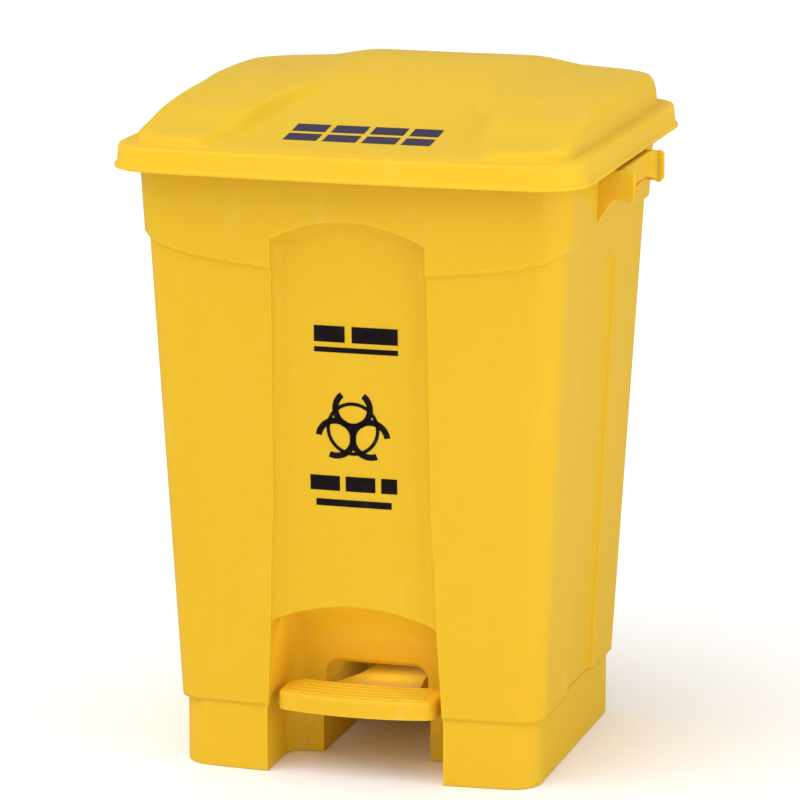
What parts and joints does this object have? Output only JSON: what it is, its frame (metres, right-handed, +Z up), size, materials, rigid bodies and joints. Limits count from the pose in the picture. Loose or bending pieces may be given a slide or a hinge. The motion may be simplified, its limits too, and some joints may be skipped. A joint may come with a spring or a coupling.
{
  "type": "pedal waste bin",
  "caption": "Tapered rectangular pedal bin for medical waste on a legged plinth, with a hinged crowned lid, side grips and a bent wire rod from the foot pedal to the lid.",
  "frame": {"origin": "on the floor under the centre of the whole bin", "axes": "+Z up, -Y out of the side with the pedal, +X to the right of somebody standing behind the bin and facing the pedal side"},
  "size_m": [0.436, 0.3986, 0.582],
  "materials": {
    "shell_plastic": "satin moulded polypropylene",
    "lid_plastic": "satin moulded polypropylene",
    "pedal_plastic": "satin moulded polypropylene",
    "guide_plastic": "moulded polypropylene",
    "zinc_wire": "zinc-plated wire",
    "axle_steel": "zinc-plated bar",
    "screw_steel": "zinc plated",
    "spring_steel": "spring steel",
    "rubber": "soft rubber"
  },
  "bodies": {
    "shell": {"bin_body": "shell_plastic", "plinth": "shell_plastic", "plinth_screws": "screw_steel", "pedal_axle": "axle_steel", "axle_push_nuts": "spring_steel", "hinge_pin_left": "axle_steel", "hinge_pin_right": "axle_steel", "pin_push_nuts": "spring_steel", "rod_guide_lower_left": "guide_plastic", "rod_guide_lower_right": "guide_plastic", "rod_guide_upper_left": "guide_plastic", "rod_guide_upper_right": "guide_plastic", "guide_screws": "screw_steel", "lid_buffers": "rubber"},
    "lid": {"lid_shell": "lid_plastic"},
    "pedal": {"pedal": "pedal_plastic", "bar_keeper": "pedal_plastic", "keeper_screws": "screw_steel"},
    "rod": {"lift_rod": "zinc_wire", "rod_push_nuts": "spring_steel"}
  },
  "joints": [
    {"name": "lid_hinge", "type": "hinge", "parent": "shell", "child": "lid", "pos_m": [0, 0.186, 0.524], "axis": [-1, 0, 0], "range_deg": [0, 75]},
    {"name": "pedal_pivot", "type": "hinge", "parent": "shell", "child": "pedal", "pos_m": [0, 0.05827, 0.047], "axis": [1, 0, 0], "range_deg": [0, 11.5]},
    {"name": "rod_slide", "type": "slide", "parent": "shell", "child": "rod", "axis": [0, 0.0645, 0.9979], "range_m": [0, 0.0172]}
  ],
  "couplings": [
    {"joint": "pedal_pivot", "follows": "lid_hinge", "ratio": 0.15166},
    {"joint": "rod_slide", "follows": "lid_hinge", "m_per_rad": 0.01302}
  ]
}
